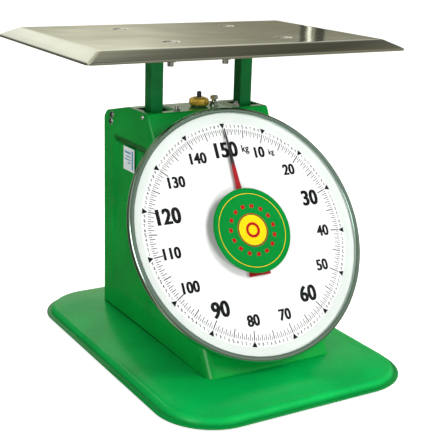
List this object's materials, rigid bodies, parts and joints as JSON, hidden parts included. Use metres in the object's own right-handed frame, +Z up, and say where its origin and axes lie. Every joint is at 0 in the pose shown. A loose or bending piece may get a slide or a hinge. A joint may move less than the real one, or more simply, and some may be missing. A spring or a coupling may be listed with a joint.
{
  "type": "mechanical dial platform scale",
  "caption": "Mechanical platform scale: a rimmed metal platform on two posts over a tapered sheet-metal body with a large leaning round dial, on a wide rounded base tray.",
  "frame": {"origin": "on the standing surface, under the middle of the base tray", "axes": "+X to the right seen from the front, the dial faces -Y, +Z up"},
  "size_m": [0.426, 0.448, 0.3924],
  "materials": {
    "base_green": "gloss",
    "body_green": "gloss",
    "post_green": "satin",
    "stainless": "brushed",
    "steel": "satin",
    "dark_steel": "satin",
    "brass": "satin",
    "chrome": "polished",
    "dial_white": "satin",
    "grey_plastic": "matte",
    "lens_clear": "gloss",
    "disc_green": "gloss",
    "pointer_red": "satin",
    "rubber": "matte",
    "label": "satin",
    "nylon": "matte"
  },
  "bodies": {
    "housing": {"base_tray": "base_green", "body_shell": "body_green", "rear_cover": "body_green", "dial_pan": "body_green", "frame_bolts": "steel", "upper_pivot_pin": "steel", "lower_pivot_pin": "steel", "top_bolts": "steel", "side_rivets": "steel", "dial_pan_screws": "steel", "dial_pillars": "steel", "movement_frame": "steel", "movement_screws": "steel", "left_spring": "steel", "right_spring": "steel", "rear_cover_screws": "dark_steel", "main_frame": "dark_steel", "nut_washer": "dark_steel", "shaft_bushes": "brass", "bezel_ring": "chrome", "lock_bolt": "chrome", "dial_plate": "dial_white", "dial_surround": "grey_plastic", "lens": "lens_clear", "centre_disc": "disc_green", "rubber_feet": "rubber", "side_label": "label", "rack_guide": "nylon"},
    "carriage": {"platform": "stainless", "platform_screws": "steel", "spider_frame": "dark_steel", "crossbar": "post_green", "crossbar_bolts": "steel", "left_post": "post_green", "right_post": "post_green", "lower_crossbar": "dark_steel", "carriage_pins": "steel", "drive_arm": "steel", "bimetal_strip": "brass", "drive_pin": "steel"},
    "upper_link_body": {"upper_link": "steel"},
    "lower_link_body": {"lower_link": "steel"},
    "rack_body": {"rack": "brass"},
    "pointer_body": {"pointer": "pointer_red", "pointer_hub": "brass", "pointer_shaft": "steel", "pinion": "brass"},
    "zero_nut_body": {"zero_nut": "brass"},
    "hanger_body": {"spring_hanger": "dark_steel"}
  },
  "joints": [
    {"name": "platform_slide", "type": "slide", "parent": "housing", "child": "carriage", "axis": [0, 0, -1], "range_m": [0, 0.01949], "stiffness_N_per_m": 75476, "springref_m": -0.0006, "deforming": ["left_spring", "right_spring"]},
    {"name": "pointer_spin", "type": "hinge", "parent": "housing", "child": "pointer_body", "pos_m": [0, -0.0837, 0.17356], "axis": [0, 0.8616, -0.5075], "range_deg": [0, 360.01]},
    {"name": "rack_slide", "type": "slide", "parent": "housing", "child": "rack_body", "axis": [0, -0.5075, -0.8616], "range_m": [0, 0.02263]},
    {"name": "upper_link_swing", "type": "hinge", "parent": "housing", "child": "upper_link_body", "pos_m": [0, 0.122, 0.25], "axis": [1, 0, 0], "range_deg": [0, 15.52]},
    {"name": "lower_link_swing", "type": "hinge", "parent": "housing", "child": "lower_link_body", "pos_m": [0, 0.122, 0.11], "axis": [1, 0, 0], "range_deg": [0, 15.52]},
    {"name": "hanger_lift", "type": "slide", "parent": "housing", "child": "hanger_body", "axis": [0, 0, 1], "range_m": [-0.0008, 0.0008]},
    {"name": "zero_nut_turn", "type": "hinge", "parent": "housing", "child": "zero_nut_body", "pos_m": [0, 0.05, 0.3], "axis": [0, 0, 1], "range_deg": [-288.05, 288.05]}
  ],
  "couplings": [
    {"joint": "pointer_spin", "follows": "platform_slide", "rad_per_m": 322.39},
    {"joint": "rack_slide", "follows": "platform_slide", "ratio": 1.1606},
    {"joint": "upper_link_swing", "follows": "platform_slide", "rad_per_m": 13.889},
    {"joint": "lower_link_swing", "follows": "platform_slide", "rad_per_m": 13.889},
    {"joint": "zero_nut_turn", "follows": "hanger_lift", "rad_per_m": -6283.2}
  ]
}
